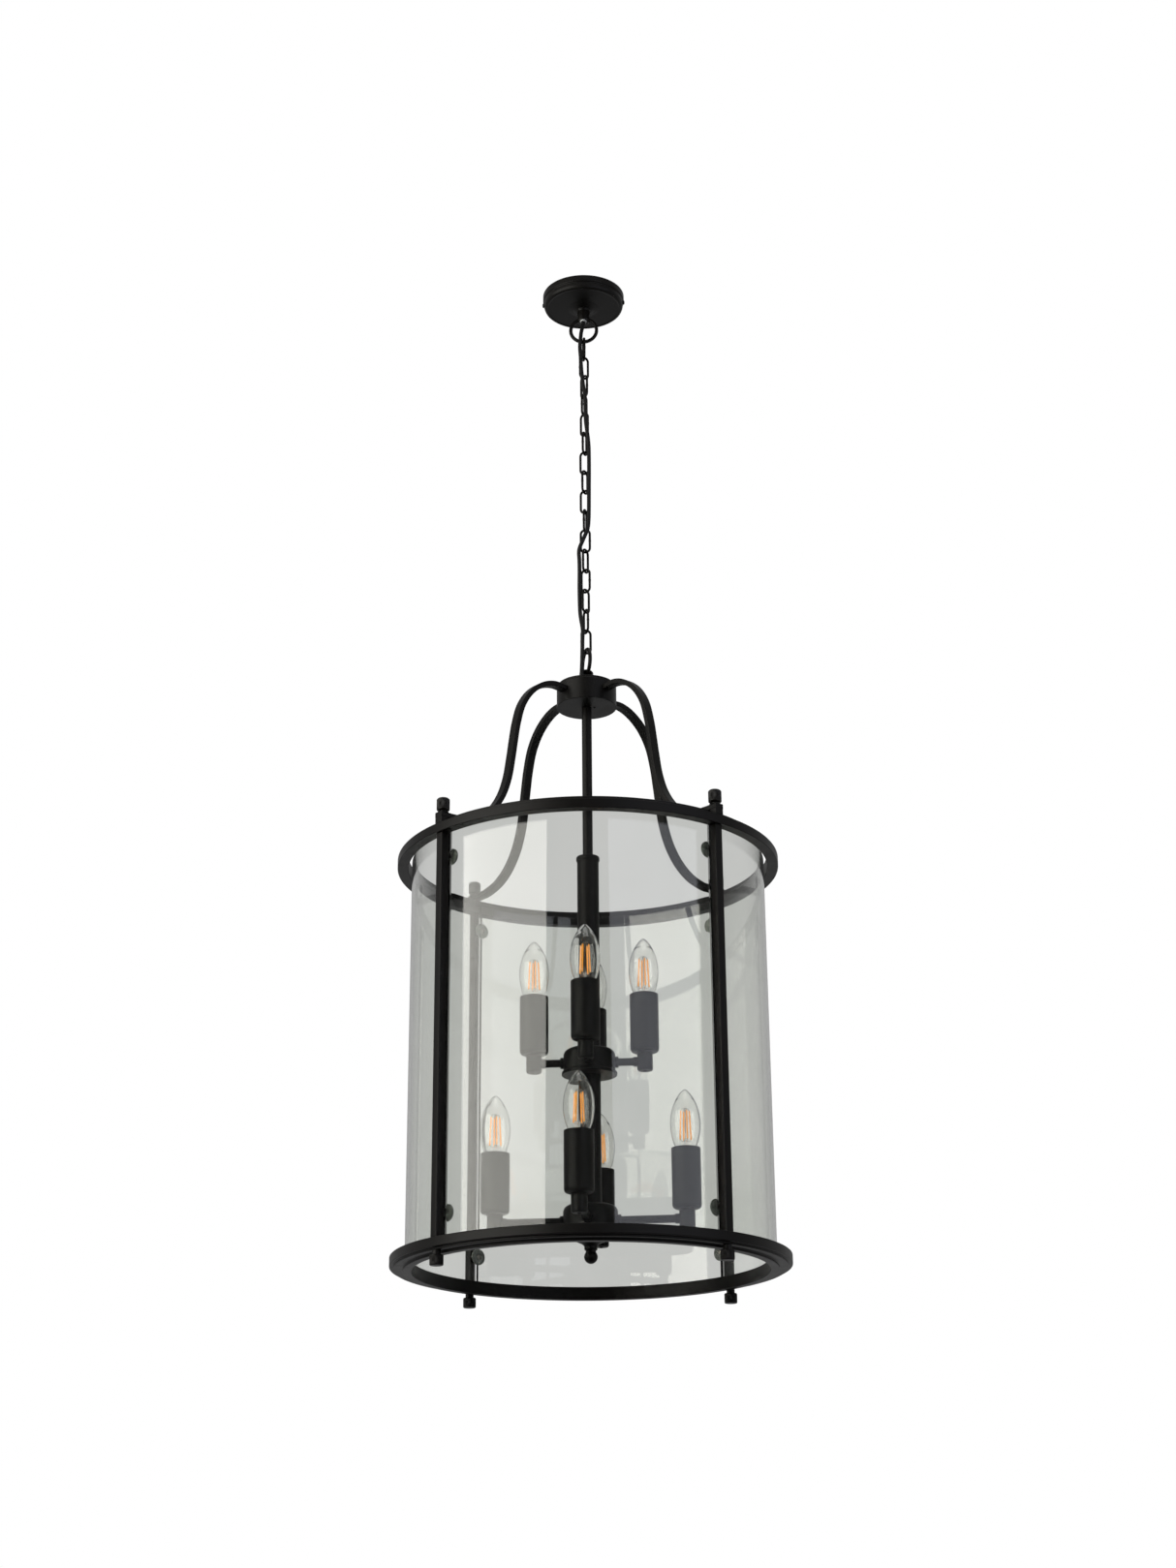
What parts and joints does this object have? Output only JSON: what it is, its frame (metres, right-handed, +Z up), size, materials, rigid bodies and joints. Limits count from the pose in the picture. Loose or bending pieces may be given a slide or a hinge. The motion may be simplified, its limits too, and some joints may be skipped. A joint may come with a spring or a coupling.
{
  "type": "hanging lantern",
  "caption": "Cylindrical glass hanging lantern with black metal rings and posts, curved crown arms, tiered candle lamps, and a chain and flex up to a ceiling rose.",
  "frame": {"origin": "middle of the ceiling bracket's top face, where it meets the ceiling", "axes": "+Z up to the ceiling along the chain, lamp arms along X and Y, posts and crown arms on the diagonals, -Y is the front"},
  "size_m": [0.45, 0.45, 1.2755],
  "materials": {
    "black_powder_coat": "satin matt black powder coat on steel",
    "zinc_plated_steel": "zinc plated strip steel",
    "flex_sheath": "extruded black PVC flex sheath",
    "clear_glass": "clear bent sheet glass, polished edges",
    "lamp_glass": "clear blown glass, amber filaments inside"
  },
  "bodies": {
    "ceiling_mount": {"ceiling_bracket": "zinc_plated_steel", "ceiling_rose": "black_powder_coat", "loop_boss": "black_powder_coat", "flex_cord": "flex_sheath"},
    "top_loop": {"top_loop": "black_powder_coat", "chain_link_01": "black_powder_coat"},
    "chain": {"chain_link_02": "black_powder_coat", "chain_link_03": "black_powder_coat", "chain_link_04": "black_powder_coat", "chain_link_05": "black_powder_coat", "chain_link_06": "black_powder_coat", "chain_link_07": "black_powder_coat", "chain_link_08": "black_powder_coat", "chain_link_09": "black_powder_coat", "chain_link_10": "black_powder_coat", "chain_link_11": "black_powder_coat", "chain_link_12": "black_powder_coat", "chain_link_13": "black_powder_coat", "chain_link_14": "black_powder_coat", "chain_link_15": "black_powder_coat", "chain_link_16": "black_powder_coat"},
    "bottom_loop": {"bottom_loop": "black_powder_coat"},
    "lantern": {"top_hub": "black_powder_coat", "stem": "black_powder_coat", "top_ring": "black_powder_coat", "bottom_ring": "black_powder_coat", "upper_cluster": "black_powder_coat", "lower_cluster": "black_powder_coat", "crown_arm_front_left": "black_powder_coat", "crown_arm_front_right": "black_powder_coat", "crown_arm_back_right": "black_powder_coat", "crown_arm_back_left": "black_powder_coat", "post_front_left": "black_powder_coat", "post_front_right": "black_powder_coat", "post_back_right": "black_powder_coat", "post_back_left": "black_powder_coat", "knob_front_left": "black_powder_coat", "knob_front_right": "black_powder_coat", "knob_back_right": "black_powder_coat", "knob_back_left": "black_powder_coat", "glass_panel_front": "clear_glass", "glass_panel_right": "clear_glass", "glass_panel_back": "clear_glass", "glass_panel_left": "clear_glass", "candle_tube_upper_front": "black_powder_coat", "bulb_upper_front": "lamp_glass", "candle_tube_upper_right": "black_powder_coat", "bulb_upper_right": "lamp_glass", "candle_tube_upper_back": "black_powder_coat", "bulb_upper_back": "lamp_glass", "candle_tube_upper_left": "black_powder_coat", "bulb_upper_left": "lamp_glass", "candle_tube_lower_front": "black_powder_coat", "bulb_lower_front": "lamp_glass", "candle_tube_lower_right": "black_powder_coat", "bulb_lower_right": "lamp_glass", "candle_tube_lower_back": "black_powder_coat", "bulb_lower_back": "lamp_glass", "candle_tube_lower_left": "black_powder_coat", "bulb_lower_left": "lamp_glass"}
  },
  "joints": [
    {"name": "top_loop_swing", "type": "hinge", "parent": "ceiling_mount", "child": "top_loop", "pos_m": [0, 0, -0.0336], "axis": [1, 0, 0], "range_deg": [-35, 35], "deforming": ["flex_cord"]},
    {"name": "chain_swing", "type": "hinge", "parent": "top_loop", "child": "chain", "pos_m": [0, 0, -0.09375], "axis": [-0.2079, 0.9781, 0], "range_deg": [-35, 35], "deforming": ["flex_cord"]},
    {"name": "bottom_loop_swing", "type": "hinge", "parent": "chain", "child": "bottom_loop", "pos_m": [0, 0, -0.507], "axis": [0.9511, 0.309, 0], "range_deg": [-35, 35], "deforming": ["flex_cord"]},
    {"name": "lantern_swing", "type": "hinge", "parent": "bottom_loop", "child": "lantern", "pos_m": [0, 0, -0.5363], "axis": [-0.342, 0.9397, 0], "range_deg": [-35, 35], "deforming": ["flex_cord"]}
  ]
}
